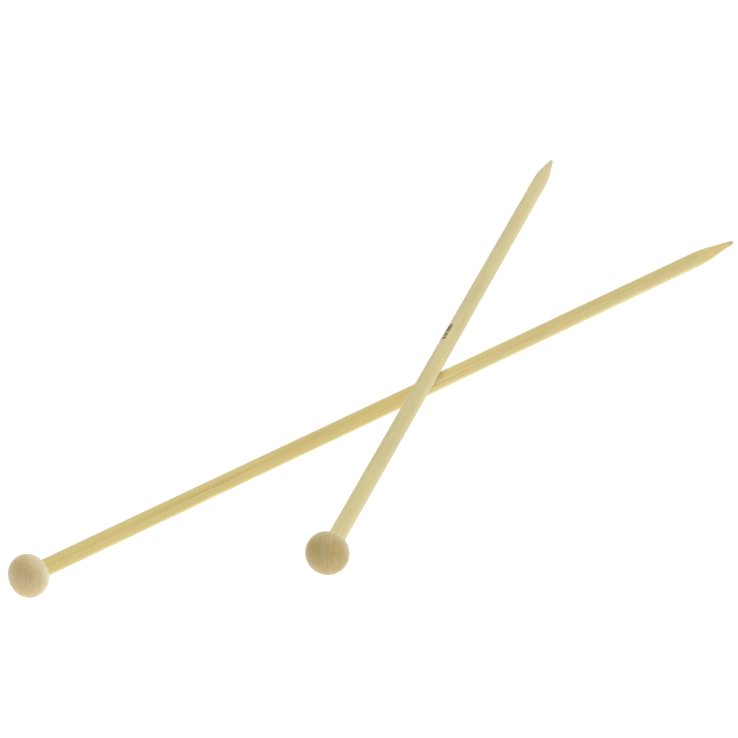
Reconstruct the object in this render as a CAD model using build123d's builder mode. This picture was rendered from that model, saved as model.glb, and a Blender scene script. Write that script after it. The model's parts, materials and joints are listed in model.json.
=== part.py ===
from build123d import *

import os
from math import acos, asin, atan2, cos, degrees, hypot, radians, sin, tan

# A pair of straight, single-pointed bamboo knitting needles, lying crossed on a table.
# Each needle is a rod with a point ground on one end and a turned wooden knob glued on the other.
# Millimetres. +Z is up and the table is z = 0. +X runs along the lower needle, from knob to point.
# The origin is under the middle of the box that holds both needles.

# ---------------------------------------------------------------- driving dimensions

needle_length = 330.0  # from the knob's outer end to the point, a standard length
shaft_diameter = 5.0  # a standard needle size

point_half_angle = radians(6.7)  # of the cone that ends the shaft
point_tip_radius = 0.65  # the blunted end of that cone
shoulder_radius = 90.0  # of the long curve that leads from the plain shaft into the cone

knob_diameter = 12.6
knob_length = 10.6  # along the needle, a little less than its diameter
knob_side_radius = 4.7  # of the arc round its widest part, which two flatter ends meet
seat_diameter = 5.4  # the small flat that the shaft's end butts against

tenon_diameter = 4.0  # the turned-down end of the shaft, inside the knob
tenon_length = 7.5
tenon_chamfer = 0.4
glue_thickness = 0.1  # around the tenon
glue_end_thickness = 0.3  # at the bottom of the hole

crossing_on_lower = 172.0  # along the lower needle, from its knob's centre to the crossing
crossing_on_upper = 134.5  # along the upper needle, from its knob's centre to the crossing
crossing_angle = radians(28.7)  # between the two needles, seen from above
crossing_clearance = 0.57  # upright gap between the shafts, so a close sleeve passes on either

# ---------------------------------------------------------------- sizes worked out from them

shaft_radius = shaft_diameter / 2
knob_radius = knob_diameter / 2
knob_half_length = knob_length / 2
seat_radius = seat_diameter / 2
tenon_radius = tenon_diameter / 2
bore_radius = tenon_radius + glue_thickness
bore_depth = tenon_length + glue_end_thickness

# The knob's outline is an oval of three tangent arcs. The side arc's centre stands off the axis,
# and each end arc's centre lies on the axis, past the middle of the knob.
side_centre_offset = knob_radius - knob_side_radius
knob_end_radius = (knob_half_length**2 + side_centre_offset**2 - knob_side_radius**2) / (
    2 * (knob_half_length - knob_side_radius)
)
end_centre_offset = knob_end_radius - knob_half_length
blend_angle = atan2(side_centre_offset, end_centre_offset)  # where an end arc meets the side arc
seat_angle = asin(seat_radius / knob_end_radius)  # where the flat cuts the end arc

# Stations along a needle's axis, measured from its knob's centre.
tip_x = needle_length - knob_half_length
tip_centre_x = tip_x - point_tip_radius
seat_x = knob_end_radius * cos(seat_angle) - end_centre_offset
tenon_end_x = seat_x - tenon_length

# The cone touches the tip's ball at one end and the shoulder's arc at the other.
cone_end_x = tip_centre_x + point_tip_radius * sin(point_half_angle)
cone_end_radius = point_tip_radius * cos(point_half_angle)
cone_start_radius = shaft_radius - shoulder_radius * (1 - cos(point_half_angle))
cone_start_x = cone_end_x - (cone_start_radius - cone_end_radius) / tan(point_half_angle)
shoulder_x = cone_start_x - shoulder_radius * sin(point_half_angle)

# ---------------------------------------------------------------- how the needles lie


def resting_tilt(pivot_height, pivot_to_shoulder):
    """The slope at which a needle held at the pivot leans down onto the table with its shoulder's arc."""
    arc_offset = shoulder_radius - shaft_radius
    reach = hypot(pivot_to_shoulder, arc_offset)
    return asin((pivot_height - shoulder_radius) / reach) + atan2(arc_offset, pivot_to_shoulder)


def needle_direction(heading, tilt):
    """The direction from knob to point of a needle that leans down by tilt."""
    return Vector(cos(heading) * cos(tilt), sin(heading) * cos(tilt), -sin(tilt))


def knob_reach(direction, along):
    """How far a knob on a needle of this direction reaches from its centre along a unit vector."""
    lean = acos(abs(direction.dot(along)))
    if lean < blend_angle:
        return knob_end_radius - end_centre_offset * cos(lean)
    return knob_side_radius + side_centre_offset * sin(lean)


# The lower needle rests on its knob and on the shoulder of its point.
lower_tilt = resting_tilt(knob_radius, shoulder_x)
lower_direction = needle_direction(0, lower_tilt)
lower_knob_centre = Vector(0, 0, knob_radius)

# The upper needle rests on the lower one and on its own shoulder, with its knob in the air.
crossing_rise = Vector(0, 0, shaft_diameter + crossing_clearance)
upper_crossing = lower_knob_centre + lower_direction * crossing_on_lower + crossing_rise
upper_tilt = resting_tilt(upper_crossing.Z, shoulder_x - crossing_on_upper)
upper_direction = needle_direction(crossing_angle, upper_tilt)
upper_knob_centre = upper_crossing - upper_direction * crossing_on_upper

# The box's four sides touch the lower knob, the upper knob and the upper point.
east, north = Vector(1, 0, 0), Vector(0, 1, 0)
upper_tip_centre = upper_knob_centre + upper_direction * tip_centre_x
box_west = lower_knob_centre.X - knob_reach(lower_direction, east)
box_east = upper_tip_centre.X + point_tip_radius
box_south = upper_knob_centre.Y - knob_reach(upper_direction, north)
box_north = upper_tip_centre.Y + point_tip_radius
box_middle = Vector((box_west + box_east) / 2, (box_south + box_north) / 2, 0)


def needle_plane(knob_centre, heading, direction):
    """The upright plane through a needle: X from knob to point, Y outwards from the axis."""
    across = Vector(sin(heading), -cos(heading), 0)
    return Plane(origin=knob_centre - box_middle, x_dir=direction, z_dir=across)


needle_planes = {
    "lower": needle_plane(lower_knob_centre, 0, lower_direction),
    "upper": needle_plane(upper_knob_centre, crossing_angle, upper_direction),
}

# ---------------------------------------------------------------- the pieces of one needle


def needle_axis(plane):
    """The line that everything on a needle is turned about."""
    return Axis(plane.origin, plane.x_dir)


def seat_plane(plane):
    """The plane of the knob's flat, facing the point."""
    return Plane(origin=plane.from_local_coords((seat_x, 0, 0)), z_dir=plane.x_dir)


def turn_shaft(plane):
    """The rod: a tenon that goes into the knob, the plain working length, and the ground point."""
    with BuildPart() as shaft:
        with BuildSketch(plane):
            with BuildLine():
                rod = Polyline(
                    (tenon_end_x, 0),
                    (tenon_end_x, tenon_radius),
                    (seat_x, tenon_radius),
                    (seat_x, shaft_radius),
                    (shoulder_x, shaft_radius),
                )
                shoulder_centre = (shoulder_x, shaft_radius - shoulder_radius)
                shoulder = CenterArc(shoulder_centre, shoulder_radius, 90, -degrees(point_half_angle))
                tip = CenterArc((tip_centre_x, 0), point_tip_radius, 0, 90 - degrees(point_half_angle))
                Line(shoulder @ 1, tip @ 1)
                Line(tip @ 0, rod @ 0)
            make_face()
        revolve(axis=needle_axis(plane))
        circles = shaft.edges().filter_by(GeomType.CIRCLE)
        tenon_rim = circles.sort_by(needle_axis(plane))[0]
        chamfer(tenon_rim, tenon_chamfer)
    return shaft


def turn_knob(plane):
    """The knob: a slightly flattened ball with a small flat and a blind hole for the tenon."""
    blend, seat = degrees(blend_angle), degrees(seat_angle)
    with BuildPart() as knob:
        with BuildSketch(plane):
            with BuildLine():
                outer_end = CenterArc((end_centre_offset, 0), knob_end_radius, 180, -blend)
                CenterArc((0, side_centre_offset), knob_side_radius, 180 - blend, 2 * blend - 180)
                inner_end = CenterArc((-end_centre_offset, 0), knob_end_radius, blend, seat - blend)
                Polyline(inner_end @ 1, (seat_x, 0), outer_end @ 0)
            make_face()
        revolve(axis=needle_axis(plane))
        with Locations(seat_plane(plane)):
            Hole(bore_radius, bore_depth)
    return knob


def fill_glue(plane, shaft):
    """The set glue: whatever the tenon leaves free in the knob's hole."""
    with BuildPart() as glue:
        with BuildSketch(seat_plane(plane)):
            Circle(bore_radius)
        extrude(amount=-bore_depth)
        add(shaft.part, mode=Mode.SUBTRACT)
    return glue


# ---------------------------------------------------------------- both needles

os.makedirs("parts", exist_ok=True)

for needle, plane in needle_planes.items():
    shaft = turn_shaft(plane)
    shaft.part.label = f"{needle}_shaft"
    export_step(shaft.part, f"parts/{needle}_shaft.step")

    knob = turn_knob(plane)
    knob.part.label = f"{needle}_knob"
    export_step(knob.part, f"parts/{needle}_knob.step")

    glue = fill_glue(plane, shaft)
    glue.part.label = f"{needle}_glue"
    export_step(glue.part, f"parts/{needle}_glue.step")
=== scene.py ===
import json
import math

import bmesh
import bpy
from mathutils import Matrix, Vector


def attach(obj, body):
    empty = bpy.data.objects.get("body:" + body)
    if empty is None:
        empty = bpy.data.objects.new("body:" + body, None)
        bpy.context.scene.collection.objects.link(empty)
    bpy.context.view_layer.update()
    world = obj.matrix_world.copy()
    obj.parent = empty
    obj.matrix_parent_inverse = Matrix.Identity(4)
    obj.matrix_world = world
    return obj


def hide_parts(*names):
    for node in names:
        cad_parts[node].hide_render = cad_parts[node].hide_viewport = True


# The looks of a pair of straight bamboo knitting needles, lying crossed on a white table.
# Metres, in the frame of the CAD model: +Z is up, +X runs along the lower needle.

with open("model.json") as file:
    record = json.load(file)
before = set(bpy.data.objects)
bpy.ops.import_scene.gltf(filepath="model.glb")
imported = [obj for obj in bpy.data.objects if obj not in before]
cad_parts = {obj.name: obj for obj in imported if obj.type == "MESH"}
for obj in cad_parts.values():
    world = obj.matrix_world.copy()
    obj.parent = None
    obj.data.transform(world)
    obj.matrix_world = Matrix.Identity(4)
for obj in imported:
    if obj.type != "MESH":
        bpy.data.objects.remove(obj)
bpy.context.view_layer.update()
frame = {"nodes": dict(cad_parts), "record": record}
mounts = {mount["name"]: mount for mount in frame["record"]["mounts"]}

MM = 0.001

# ---------------------------------------------------------------- driving dimensions

# One needle, along its own axis from the knob's centre. They repeat the CAD model's dimensions.
needle_length = 330 * MM
shaft_radius = mounts["lower_needle_shaft"]["dims"]["r_mm"] * MM
point_half_angle = math.radians(6.7)
point_tip_radius = 0.65 * MM
shoulder_radius = 90 * MM
knob_radius = 6.3 * MM
knob_half_length = 5.3 * MM
knob_side_radius = 4.7 * MM
seat_radius = 2.7 * MM
tenon_radius = 2 * MM
tenon_length = 7.5 * MM
tenon_chamfer = 0.4 * MM
bore_radius = 2.1 * MM
bore_depth = 7.8 * MM
seat_rounding = 0.3 * MM  # of the rim round the knob's seat, which the CAD model leaves sharp

# The size mark printed on the upper needle.
mark_text = "5.0 mm"
mark_start = 152.5 * MM
mark_length = 12.0 * MM
mark_height = 2.25 * MM
mark_turn = math.radians(31)  # round the shaft from its top, towards the needle's left
mark_boldness = 0.05  # as a share of the letters' size
mark_letter_spacing = 1.15
mark_word_spacing = 0.6
ink_proud = 0.004 * MM
ink_depth = 0.05 * MM

# Mesh fineness.
lathe_segments = 128
wall_step = 5 * MM
cone_step = 1.25 * MM
gentle_arc_steps = 16
side_arc_steps = 48
tip_arc_steps = 10
rim_arc_steps = 6
letter_curve_steps = 3  # finer letters would fold over themselves at this boldness
ink_strip = 0.12 * MM
weld_distance = 1e-4  # as a share of the letters' size
crease_angle = math.radians(30)

# The camera, which looks at a point on the table.
camera_aim = Vector((6.1 * MM, 17.26 * MM, 0))
camera_distance = 1.2227
camera_heading = math.radians(42.3)  # of its view, from +X towards +Y
camera_elevation = math.radians(25.83)
camera_lens = 188.7  # millimetres
camera_sensor = 36  # millimetres
camera_reach = 100  # metres, well past the table's edge

# The table, the room and the lights in it.
table_radius = 30
table_segments = 96
table_grey = 0.25
table_glow = 0.89
room_light = 0.155
softbox_distance = 3.0
softbox_size = 2.0

# ---------------------------------------------------------------- sizes worked out from them

side_centre_offset = knob_radius - knob_side_radius
knob_end_radius = (knob_half_length**2 + side_centre_offset**2 - knob_side_radius**2) / (
    2 * (knob_half_length - knob_side_radius)
)
end_centre_offset = knob_end_radius - knob_half_length
blend_angle = math.atan2(side_centre_offset, end_centre_offset)
seat_x = knob_end_radius * math.cos(math.asin(seat_radius / knob_end_radius)) - end_centre_offset

tip_x = needle_length - knob_half_length
tip_centre_x = tip_x - point_tip_radius
cone_end_x = tip_centre_x + point_tip_radius * math.sin(point_half_angle)
cone_end_radius = point_tip_radius * math.cos(point_half_angle)
cone_start_radius = shaft_radius - shoulder_radius * (1 - math.cos(point_half_angle))
cone_length = (cone_start_radius - cone_end_radius) / math.tan(point_half_angle)
shoulder_x = cone_end_x - cone_length - shoulder_radius * math.sin(point_half_angle)


def needle_place(needle):
    """Where a needle lies: X runs from its knob's centre to its point, and Y is level."""
    along = Vector(mounts[f"{needle}_needle_shaft"]["axis"]).normalized()
    left = Vector((0, 0, 1)).cross(along).normalized()
    turn = Matrix((along, left, along.cross(left))).transposed().to_4x4()
    tip = Vector(mounts[f"{needle}_needle_point"]["pos_m"])
    return Matrix.Translation(tip - along * tip_x) @ turn


def direction(heading, elevation):
    """The way to something at a heading, from +X towards +Y, and an elevation above the table."""
    level = math.cos(elevation)
    return Vector((math.cos(heading) * level, math.sin(heading) * level, math.sin(elevation)))


# ---------------------------------------------------------------- outlines


def arc(centre_x, centre_y, radius, start, end, steps):
    """Points on an arc, in the half plane through a needle's axis."""
    angles = [start + (end - start) * step / steps for step in range(steps + 1)]
    return [(centre_x + radius * math.cos(a), centre_y + radius * math.sin(a)) for a in angles]


def run(start, end, longest):
    """Points on a straight line after its start, no further apart than longest."""
    steps = math.ceil(math.dist(start, end) / longest)
    return [
        (start[0] + (end[0] - start[0]) * i / steps, start[1] + (end[1] - start[1]) * i / steps)
        for i in range(1, steps + 1)
    ]


def shaft_outline():
    """The rod from its tenon to its point. Both ends are on the axis."""
    tenon_end_x = seat_x - tenon_length
    quarter = math.pi / 2
    shoulder_end = quarter - point_half_angle
    shoulder_centre_y = shaft_radius - shoulder_radius
    shoulder = arc(
        shoulder_x, shoulder_centre_y, shoulder_radius, quarter, shoulder_end, gentle_arc_steps
    )
    tip = arc(tip_centre_x, 0, point_tip_radius, shoulder_end, 0, tip_arc_steps)
    outline = [
        (tenon_end_x, 0),
        (tenon_end_x, tenon_radius - tenon_chamfer),
        (tenon_end_x + tenon_chamfer, tenon_radius),
        (seat_x, tenon_radius),
        (seat_x, shaft_radius),
    ]
    outline += run(outline[-1], shoulder[0], wall_step)
    outline += shoulder[1:]
    outline += run(outline[-1], tip[0], cone_step)
    outline += tip[1:-1]
    return outline + [(tip_x, 0)]


def knob_outline():
    """The flattened ball, from its outer end over its side to its seat, and down its hole."""
    half_turn = math.pi
    outer_end = arc(
        end_centre_offset, 0, knob_end_radius, half_turn, half_turn - blend_angle, gentle_arc_steps
    )
    side = arc(
        0, side_centre_offset, knob_side_radius, half_turn - blend_angle, blend_angle, side_arc_steps
    )
    rim_x = seat_x - seat_rounding
    rim_reach = knob_end_radius - seat_rounding
    rim_angle = math.acos((rim_x + end_centre_offset) / rim_reach)
    inner_end = arc(
        -end_centre_offset, 0, knob_end_radius, blend_angle, rim_angle, gentle_arc_steps
    )
    rim_y = rim_reach * math.sin(rim_angle)
    rim = arc(rim_x, rim_y, seat_rounding, rim_angle, 0, rim_arc_steps)
    hole = [
        (seat_x, bore_radius),
        (seat_x - bore_depth, bore_radius),
        (seat_x - bore_depth, 0),
    ]
    return [(-knob_half_length, 0)] + outer_end[1:] + side[1:] + inner_end[1:] + rim[1:] + hole


# ---------------------------------------------------------------- pieces


def finished(name, solid, needle, material):
    """A piece from a solid made about a needle's own axis: placed, riding and with its material."""
    bmesh.ops.recalc_face_normals(solid, faces=solid.faces)
    mesh = bpy.data.meshes.new(name)
    solid.to_mesh(mesh)
    solid.free()
    mesh.shade_smooth()
    mesh.set_sharp_from_angle(angle=crease_angle)
    mesh.materials.append(material)
    piece = bpy.data.objects.new(name, mesh)
    bpy.context.scene.collection.objects.link(piece)
    piece.matrix_world = needle_place(needle)
    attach(piece, f"{needle}_needle")
    return piece


def turned(name, outline, needle, material):
    """A closed solid turned about a needle's axis from an outline whose two ends are on it."""
    solid = bmesh.new()
    start = solid.verts.new((outline[0][0], 0, 0))
    end = solid.verts.new((outline[-1][0], 0, 0))
    turns = [math.tau * segment / lathe_segments for segment in range(lathe_segments)]
    rings = [
        [solid.verts.new((x, radius * math.cos(turn), radius * math.sin(turn))) for turn in turns]
        for x, radius in outline[1:-1]
    ]
    for here in range(lathe_segments):
        beside = (here + 1) % lathe_segments
        solid.faces.new((start, rings[0][beside], rings[0][here]))
        for near, far in zip(rings, rings[1:]):
            solid.faces.new((near[here], near[beside], far[beside], far[here]))
        solid.faces.new((end, rings[-1][here], rings[-1][beside]))
    return finished(name, solid, needle, material)


def lettering():
    """The mark's text as a closed solid of any size, flat on the XY plane."""
    text = bpy.data.curves.new("lettering", "FONT")
    text.body = mark_text
    text.align_y = "CENTER"
    text.size = 1
    text.extrude = 0.5
    text.offset = mark_boldness
    text.resolution_u = letter_curve_steps
    text.space_character = mark_letter_spacing
    text.space_word = mark_word_spacing
    writing = bpy.data.objects.new("lettering", text)
    bpy.context.scene.collection.objects.link(writing)
    bpy.context.view_layer.update()
    depsgraph = bpy.context.evaluated_depsgraph_get()
    mesh = bpy.data.meshes.new_from_object(writing.evaluated_get(depsgraph))
    bpy.data.objects.remove(writing)
    solid = bmesh.new()
    solid.from_mesh(mesh)
    bpy.data.meshes.remove(mesh)
    bmesh.ops.remove_doubles(solid, verts=solid.verts, dist=weld_distance)
    return solid


def size_mark(name, needle, material):
    """The size, printed along the shaft as a skin of ink that follows its round surface."""
    letters = lettering()
    low = [min(v.co[axis] for v in letters.verts) for axis in range(2)]
    high = [max(v.co[axis] for v in letters.verts) for axis in range(2)]
    for v in letters.verts:
        v.co.x = (v.co.x - low[0]) / (high[0] - low[0]) * mark_length
        v.co.y = ((v.co.y - low[1]) / (high[1] - low[1]) - 0.5) * mark_height
        v.co.z = ink_proud if v.co.z > 0 else -ink_depth

    strips = math.ceil(mark_height / ink_strip)
    for strip in range(1, strips):
        across = (strip / strips - 0.5) * mark_height
        bmesh.ops.bisect_plane(
            letters,
            geom=letters.verts[:] + letters.edges[:] + letters.faces[:],
            plane_co=(0, across, 0),
            plane_no=(0, 1, 0),
        )
    for v in letters.verts:
        turn = mark_turn + v.co.y / shaft_radius
        reach = shaft_radius + v.co.z
        v.co = Vector((mark_start + v.co.x, reach * math.sin(turn), reach * math.cos(turn)))
    return finished(name, letters, needle, material)


# ---------------------------------------------------------------- shader nodes

mix_factor, mix_first, mix_second = 0, 6, 7  # a colour Mix node's sockets, which share their names
mix_result = 2


def node(tree, kind, inputs, **settings):
    """A new node, with each input linked to a socket or set to a value."""
    made = tree.nodes.new(kind)
    for name, value in settings.items():
        setattr(made, name, value)
    for name, value in inputs.items():
        if isinstance(value, bpy.types.NodeSocket):
            tree.links.new(value, made.inputs[name])
        else:
            made.inputs[name].default_value = value
    return made


def new_material(name):
    """An empty node material, its shader and its tree."""
    material = bpy.data.materials.new(name)
    material.use_nodes = True
    tree = material.node_tree
    tree.nodes.clear()
    shader = node(tree, "ShaderNodeBsdfPrincipled", {})
    node(tree, "ShaderNodeOutputMaterial", {"Surface": shader.outputs["BSDF"]})
    return material, shader, tree


def object_point(tree):
    """The point being shaded, in the piece's own axes."""
    return node(tree, "ShaderNodeTexCoord", {}).outputs["Object"]


def axes(tree, point):
    """A point's X, Y and Z."""
    return node(tree, "ShaderNodeSeparateXYZ", {"Vector": point}).outputs


def maths(tree, operation, *values):
    """The result of one Math node."""
    return node(tree, "ShaderNodeMath", dict(enumerate(values)), operation=operation).outputs[0]


def vector_maths(tree, operation, *vectors):
    """The result of one Vector Math node, a length or else a vector."""
    made = node(tree, "ShaderNodeVectorMath", dict(enumerate(vectors)), operation=operation)
    return made.outputs["Value" if operation == "LENGTH" else "Vector"]


def spread(tree, value, low, high, to_low=0.0, to_high=1.0):
    """The value's range from low to high, spread smoothly over another range."""
    ranged = node(
        tree,
        "ShaderNodeMapRange",
        {"Value": value, "From Min": low, "From Max": high, "To Min": to_low, "To Max": to_high},
        interpolation_type="SMOOTHSTEP",
    )
    return ranged.outputs["Result"]


def scaled(tree, pattern, lowest, highest):
    """A pattern from 0 to 1, taken evenly to the range from lowest to highest."""
    return maths(tree, "MULTIPLY_ADD", pattern, highest - lowest, lowest)


def noise(tree, point, seed, sizes, detail):
    """Soft random noise about 0.5, whose features have these sizes along X, Y and Z."""
    stretched = node(
        tree,
        "ShaderNodeMapping",
        {"Vector": point, "Location": (seed, seed, seed), "Scale": [1 / size for size in sizes]},
    )
    texture = node(
        tree,
        "ShaderNodeTexNoise",
        {"Vector": stretched.outputs["Vector"], "Scale": 1.0, "Detail": detail, "Roughness": 0.55},
    )
    return texture.outputs["Fac"]


def speckle(tree, point, seed, sizes, detail, low, high):
    """A random pattern from 0, where the noise is under low, to 1, where it is over high."""
    return spread(tree, noise(tree, point, seed, sizes, detail), low, high)


def grain(tree, point, seed, size, detail, low, high):
    """Such a pattern drawn out along a needle: its size is a length and a width."""
    length, width = size
    return speckle(tree, point, seed, (length, width, width), detail, low, high)


def mixed(tree, factor, first, second, how="MIX"):
    """Two colours mixed by a factor."""
    inputs = {mix_factor: factor, mix_first: first, mix_second: second}
    mix = node(tree, "ShaderNodeMix", inputs, data_type="RGBA", blend_type=how)
    return mix.outputs[mix_result]


def tinted(tree, colour, added_colour, pattern, strength):
    """A colour, with another colour mixed in where the pattern is high."""
    return mixed(tree, maths(tree, "MULTIPLY", pattern, strength), colour, added_colour)


def grey(tree, value):
    """A grey of that value."""
    channels = {"Red": value, "Green": value, "Blue": value}
    return node(tree, "ShaderNodeCombineColor", channels).outputs["Color"]


# ---------------------------------------------------------------- materials

hollow_depth = 0.6  # of a bundle or a pore, as a share of the fibres' own height

# Stripes on a shaft.
stripe_wander_length = 70 * MM
stripe_swing = 0.5  # radians, from one side to the other
stripe_fade_length = 40 * MM
stripe_faintest = 0.4
whole_shaft = 1.0  # so wide that a pattern is the same all round the shaft

# Where a shaft changes along its length.
far_start = 110 * MM
far_end = 230 * MM
point_tone_start = tip_x - 5 * MM
point_tone_end = tip_x - 0.2 * MM

# The growth rings of a knob, and the change from its end grain to its side, whose paler colour is
# painted rim light.
ring_wander = 0.9 * MM
ring_wander_scale = 150.0  # waves to a metre
ring_stretch = (1.0, 1.0, 0.6)  # scales the distance from the pith, so the rings stand tall
side_blend = 3 * MM  # before and after the knob's middle
end_look_on_rim_lit_side = 0.2  # how much of the end grain's look the side keeps; the rest is painted rim light

bundle_brown = (0.52, 0.36, 0.13, 1)
point_tan = (0.54, 0.47, 0.31, 1)
pore_brown = (0.45, 0.32, 0.15, 1)
ink_black = (0.045, 0.038, 0.012, 1)
ink_faded = (0.19, 0.16, 0.07, 1)
glue_clear = (0.68, 0.60, 0.40, 1)
glue_cloudy = (0.78, 0.72, 0.54, 1)
gold = (0.86, 0.69, 0.18, 1)
brown = (0.78, 0.56, 0.19, 1)
blush = (0.86, 0.66, 0.30, 1)
# Painted highlight, along the shafts' lower sides turned to the camera.
painted_highlight_cream = (0.94, 0.86, 0.44, 1)
# Painted shade and painted reflection, along the lower shaft's upper side turned to the camera.
painted_shade_straw = (0.75, 0.68, 0.37, 1)
white = (1, 1, 1, 1)


def finish_surface(tree, shader, colour, roughness):
    """Gives the shader a colour and a roughness that vary over the surface."""
    tree.links.new(colour, shader.inputs["Base Color"])
    tree.links.new(roughness, shader.inputs["Roughness"])


def carve_surface(tree, shader, fibres, hollows, strength, distance):
    """Raises the fibres a little, and sinks the bundles or pores among them."""
    relief = maths(tree, "MULTIPLY_ADD", hollows, -hollow_depth, fibres)
    bump = node(tree, "ShaderNodeBump", {"Height": relief, "Strength": strength, "Distance": distance})
    tree.links.new(bump.outputs["Normal"], shader.inputs["Normal"])


def stripe(tree, point, seed, turn, half_width):
    """How strongly a long stripe shows, which wanders about a line at a turn from the shaft's top."""
    place = axes(tree, point)
    around = maths(tree, "ARCTAN2", place["Y"], place["Z"])
    wander = noise(tree, point, seed, (stripe_wander_length, whole_shaft, whole_shaft), detail=1)
    offset = maths(tree, "MULTIPLY_ADD", wander, stripe_swing, -stripe_swing / 2 - turn)
    aside = maths(tree, "ABSOLUTE", maths(tree, "ADD", around, offset))
    body = spread(tree, aside, 0.0, half_width / shaft_radius, to_low=1.0, to_high=0.0)
    fade_size = (stripe_fade_length, whole_shaft)
    fading = grain(tree, point, seed + 5, fade_size, detail=1, low=0.35, high=0.65)
    return maths(tree, "MULTIPLY", body, scaled(tree, fading, stripe_faintest, 1.0))


def bamboo(name, pale, deep, warm, far, tint, stripes, seed):
    """Polished bamboo: bands, stripes, straight fibres, thin dark bundles and a darker, greyer point.
    The cream stripes are painted highlight and the straw stripe is painted shade and reflection.
    """
    material, shader, tree = new_material(name)
    point = object_point(tree)
    x = axes(tree, point)["X"]

    # Each pattern's seed differs, so that no two of them line up.
    bands = grain(tree, point, seed, (260 * MM, 2.4 * MM), detail=1, low=0.36, high=0.64)
    strands = grain(tree, point, seed + 11, (150 * MM, 0.6 * MM), detail=2, low=0.33, high=0.67)
    fibres = grain(tree, point, seed + 23, (14 * MM, 0.13 * MM), detail=2, low=0.3, high=0.7)
    clouds = grain(tree, point, seed + 37, (45 * MM, 6 * MM), detail=1, low=0.35, high=0.65)
    bundles = grain(tree, point, seed + 51, (40 * MM, 0.26 * MM), detail=0, low=0.66, high=0.76)
    patches = grain(tree, point, seed + 61, (16 * MM, 2.2 * MM), detail=1, low=0.5, high=0.7)

    colour = tinted(tree, pale, warm, bands, strength=0.6)
    colour = tinted(tree, colour, far, spread(tree, x, far_start, far_end), strength=0.45)
    colour = tinted(tree, colour, deep, strands, strength=0.5)
    # Some stripes are painted light along the sides of a shaft turned to the camera.
    for place, (turn, half_width, strength, added_colour) in enumerate(stripes):
        shown = stripe(tree, point, seed + place, turn, half_width)
        colour = tinted(tree, colour, added_colour, shown, strength)
    colour = tinted(tree, colour, tint, patches, strength=0.5)
    colour = tinted(tree, colour, bundle_brown, bundles, strength=0.2)
    fibre_shade = scaled(tree, fibres, lowest=0.94, highest=1.04)
    cloud_shade = scaled(tree, clouds, lowest=0.97, highest=1.03)
    shade = grey(tree, maths(tree, "MULTIPLY", fibre_shade, cloud_shade))
    colour = mixed(tree, 1.0, colour, shade, "MULTIPLY")
    # Darker and greyer towards the point.
    colour = tinted(tree, colour, point_tan, spread(tree, x, point_tone_start, point_tone_end), strength=0.6)

    finish_surface(tree, shader, colour, scaled(tree, fibres, lowest=0.42, highest=0.54))
    shader.inputs["Specular IOR Level"].default_value = 0.35
    shader.inputs["Sheen Weight"].default_value = 0.15
    carve_surface(tree, shader, fibres, bundles, strength=0.5, distance=0.015 * MM)
    return material


def growth_rings(tree, point, pith, ring_width):
    """Wavering growth rings, upright ovals about a pith that is placed from the knob's centre."""
    wander = node(
        tree, "ShaderNodeTexNoise", {"Vector": point, "Scale": ring_wander_scale, "Detail": 2.0}
    )
    waver = (ring_wander, ring_wander, ring_wander)
    pushed = vector_maths(tree, "MULTIPLY_ADD", wander.outputs["Color"], waver, point)
    from_pith = vector_maths(tree, "SUBTRACT", pushed, pith)
    reach = vector_maths(tree, "LENGTH", vector_maths(tree, "MULTIPLY", from_pith, ring_stretch))
    ring = node(
        tree,
        "ShaderNodeTexNoise",
        {"W": maths(tree, "DIVIDE", reach, ring_width), "Scale": 1.0, "Detail": 1.0},
        noise_dimensions="1D",
    )
    return spread(tree, ring.outputs["Fac"], low=0.3, high=0.7)


def knob_wood(name, pale, deep, warm, side, pith, ring_width, seed):
    """Turned wood: growth rings, upright fibres, warm blotches and pores, and paler on its side as
    painted rim light.
    """
    material, shader, tree = new_material(name)
    point = object_point(tree)
    x = axes(tree, point)["X"]

    rings = growth_rings(tree, point, pith, ring_width)
    ring_area = (4 * MM, 4 * MM, 6 * MM)
    fibre = (0.45 * MM, 0.45 * MM, 4 * MM)
    blotch = (3 * MM, 3 * MM, 4 * MM)
    pore = (0.22 * MM, 0.22 * MM, 0.8 * MM)
    clear_areas = speckle(tree, point, seed + 3, ring_area, detail=1, low=0.35, high=0.65)
    fibres = speckle(tree, point, seed + 7, fibre, detail=2, low=0.32, high=0.68)
    blotches = speckle(tree, point, seed + 13, blotch, detail=2, low=0.35, high=0.65)
    pores = speckle(tree, point, seed + 29, pore, detail=1, low=0.62, high=0.74)
    # High on the outer end, where the rings show; low on the side, which takes the paler side colour
    # as painted rim light.
    end_grain_off_rim_light = spread(tree, x, -side_blend, side_blend, to_low=1.0, to_high=end_look_on_rim_lit_side)

    colour = tinted(tree, pale, warm, blotches, strength=0.75)
    colour = mixed(tree, end_grain_off_rim_light, side, colour)
    clearness = scaled(tree, clear_areas, lowest=0.1, highest=0.35)
    rings_shown = maths(tree, "MULTIPLY", maths(tree, "MULTIPLY", rings, clearness), end_grain_off_rim_light)
    colour = mixed(tree, rings_shown, colour, deep)
    colour = tinted(tree, colour, deep, fibres, strength=0.26)
    colour = tinted(tree, colour, pore_brown, pores, strength=0.25)

    finish_surface(tree, shader, colour, scaled(tree, fibres, lowest=0.4, highest=0.5))
    shader.inputs["Sheen Weight"].default_value = 0.5
    shader.inputs["Sheen Roughness"].default_value = 0.4
    carve_surface(tree, shader, fibres, pores, strength=0.35, distance=0.02 * MM)
    return material


def ink(name):
    """Stamped ink, thin where the fibres under it didn't take it."""
    material, shader, tree = new_material(name)
    point = object_point(tree)
    faded = grain(tree, point, seed=3, size=(1.2 * MM, 0.15 * MM), detail=2, low=0.5, high=0.75)
    tree.links.new(mixed(tree, faded, ink_black, ink_faded), shader.inputs["Base Color"])
    shader.inputs["Roughness"].default_value = 0.75
    shader.inputs["Specular IOR Level"].default_value = 0.25
    return material


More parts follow.
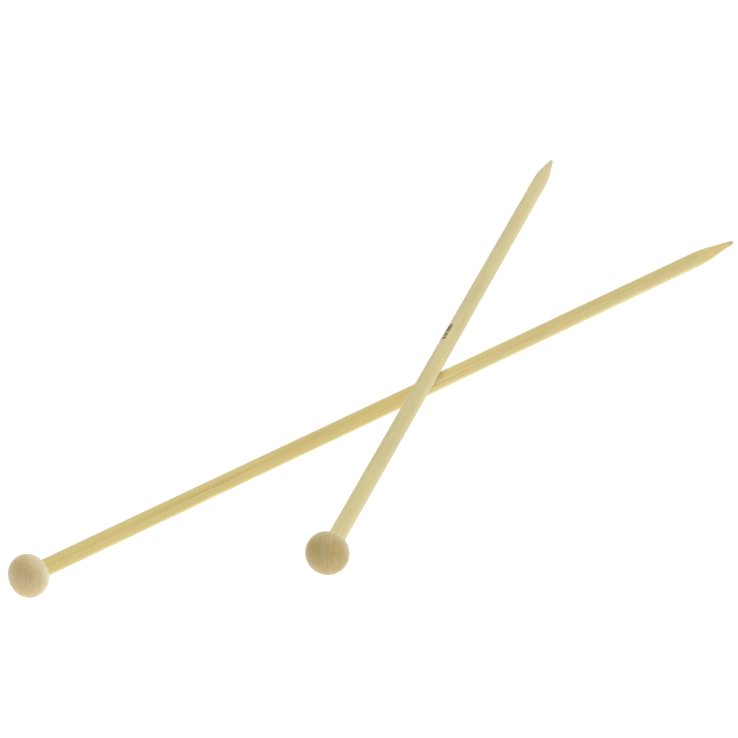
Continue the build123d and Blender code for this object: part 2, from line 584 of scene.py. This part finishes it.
def dried_glue(name):
    """Dried wood glue, a little cloudy."""
    material, shader, tree = new_material(name)
    point = object_point(tree)
    cloud = grain(tree, point, seed=5, size=(1.5 * MM, 1.5 * MM), detail=2, low=0.3, high=0.7)
    colour = mixed(tree, cloud, glue_clear, glue_cloudy)
    finish_surface(tree, shader, colour, scaled(tree, cloud, lowest=0.3, highest=0.45))
    return material


# ---------------------------------------------------------------- the needles

# A stripe is a turn from the shaft's top, half its width, its strength and its colour.
looks = {
    "lower": {
        "shaft": bamboo(
            "golden bamboo",
            pale=(0.885, 0.76, 0.285, 1),
            deep=(0.71, 0.565, 0.175, 1),
            warm=(0.85, 0.68, 0.285, 1),
            far=(0.87, 0.78, 0.42, 1),
            tint=(0.86, 0.61, 0.25, 1),
            stripes=(
                # Painted shade and painted reflection: the straw stripe, darker and greyer, lies along
                # the upper side turned to the camera.
                (math.radians(-8), 0.8 * MM, 0.5, painted_shade_straw),
                (math.radians(-26), 0.8 * MM, 0.6, gold),
                (math.radians(-75), 1.0 * MM, 0.5, blush),
                # Painted highlight: the cream stripe lies along the lower side turned to the camera,
                # lit by light bounced from the table.
                (math.radians(-115), 1.1 * MM, 0.7, painted_highlight_cream),
                (math.radians(-44), 0.55 * MM, 0.45, brown),
                (math.radians(130), 0.5 * MM, 0.4, brown),
            ),
            seed=1.7,
        ),
        "shaft_slot": "golden_bamboo",
        "knob": knob_wood(
            "lower knob wood",
            pale=(0.87, 0.70, 0.385, 1),
            deep=(0.61, 0.46, 0.19, 1),
            warm=(0.84, 0.625, 0.295, 1),
            # The paler side colour is painted rim light.
            side=(0.98, 0.88, 0.66, 1),
            pith=(-14.7 * MM, 26 * MM, -3.2 * MM),
            ring_width=0.5 * MM,
            seed=6.4,
        ),
    },
    "upper": {
        "shaft": bamboo(
            "pale bamboo",
            pale=(0.83, 0.745, 0.345, 1),
            deep=(0.72, 0.63, 0.27, 1),
            warm=(0.81, 0.69, 0.345, 1),
            far=(0.86, 0.75, 0.39, 1),
            tint=(0.86, 0.68, 0.38, 1),
            stripes=(
                (math.radians(-45), 1.2 * MM, 0.4, blush),
                # Painted highlight: the cream stripe lies along the lower side turned to the camera,
                # lit by light bounced from the table.
                (math.radians(-90), 0.9 * MM, 0.3, painted_highlight_cream),
                (math.radians(150), 0.4 * MM, 0.3, brown),
            ),
            seed=7.3,
        ),
        "shaft_slot": "pale_bamboo",
        "knob": knob_wood(
            "upper knob wood",
            pale=(0.71, 0.59, 0.28, 1),
            deep=(0.50, 0.375, 0.135, 1),
            warm=(0.74, 0.52, 0.195, 1),
            # The paler side colour is painted rim light.
            side=(0.92, 0.83, 0.56, 1),
            pith=(-3 * MM, 30 * MM, -2 * MM),
            ring_width=0.6 * MM,
            seed=18.4,
        ),
    },
}
glue = dried_glue("dried glue")

for needle, look in looks.items():
    shaft = turned(
        f"{needle}_bamboo_shaft", shaft_outline(), needle, look["shaft"]
    )
    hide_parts(f"{needle}_shaft")
    knob = turned(f"{needle}_turned_knob", knob_outline(), needle, look["knob"])
    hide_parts(f"{needle}_knob")
    glue_film = frame["nodes"][f"{needle}_glue"]
    glue_film.data.materials.clear()
    glue_film.data.materials.append(glue)

size_mark("upper_size_mark", "upper", ink("printed ink"))

# ---------------------------------------------------------------- table, light and camera


def table():
    """A wide white table top that glows a little, so that shadows on it are weak."""
    mesh = bpy.data.meshes.new("table_top")
    disc = bmesh.new()
    bmesh.ops.create_circle(disc, cap_ends=True, segments=table_segments, radius=table_radius)
    disc.to_mesh(mesh)
    disc.free()
    material, shader, _ = new_material("white table")
    shader.inputs["Base Color"].default_value = (table_grey, table_grey, table_grey, 1)
    shader.inputs["Roughness"].default_value = 0.9
    shader.inputs["Specular IOR Level"].default_value = 0.1
    shader.inputs["Emission Color"].default_value = white
    shader.inputs["Emission Strength"].default_value = table_glow
    mesh.materials.append(material)
    top = bpy.data.objects.new("table_top", mesh)
    bpy.context.scene.collection.objects.link(top)


def room():
    """A dim, even light from all round."""
    world = bpy.data.worlds.new("room")
    world.use_nodes = True
    background = world.node_tree.nodes["Background"]
    background.inputs["Color"].default_value = white
    background.inputs["Strength"].default_value = room_light
    bpy.context.scene.world = world


def softbox(name, heading, elevation, power):
    """A large square light that faces the needles and stays out of the camera's sight."""
    light = bpy.data.lights.new(name, "AREA")
    light.size = softbox_size
    light.energy = power
    towards = direction(heading, elevation)
    lamp = bpy.data.objects.new(name, light)
    lamp.location = towards * softbox_distance
    lamp.rotation_mode = "QUATERNION"
    lamp.rotation_quaternion = towards.to_track_quat("Z", "Y")
    lamp.visible_camera = False
    bpy.context.scene.collection.objects.link(lamp)


def camera():
    """The view from the needles' knobs, a little above the table."""
    data = bpy.data.cameras.new("camera")
    data.sensor_width = camera_sensor
    data.lens = camera_lens
    data.clip_end = camera_reach
    view = direction(camera_heading, -camera_elevation)
    eye = bpy.data.objects.new("camera", data)
    eye.location = camera_aim - view * camera_distance
    eye.rotation_mode = "QUATERNION"
    eye.rotation_quaternion = view.to_track_quat("-Z", "Y")
    bpy.context.scene.collection.objects.link(eye)
    bpy.context.scene.camera = eye


# Each light's heading, measured from straight behind the camera, its elevation and its watts.
softboxes = {
    "overhead_softbox": (0, 88, 38),
    "front_right_softbox": (45, 30, 7.4),
    "right_softbox": (90, 20, 12.7),
    "back_right_softbox": (135, 30, 9.6),
    "back_softbox": (180, 30, 8.5),
    "back_left_softbox": (-135, 30, 15.7),
}

table()
room()
camera()
behind_camera = camera_heading + math.pi
for name, (heading, elevation, power) in softboxes.items():
    softbox(name, behind_camera + math.radians(heading), math.radians(elevation), power)
bpy.context.scene.view_settings.view_transform = "Standard"
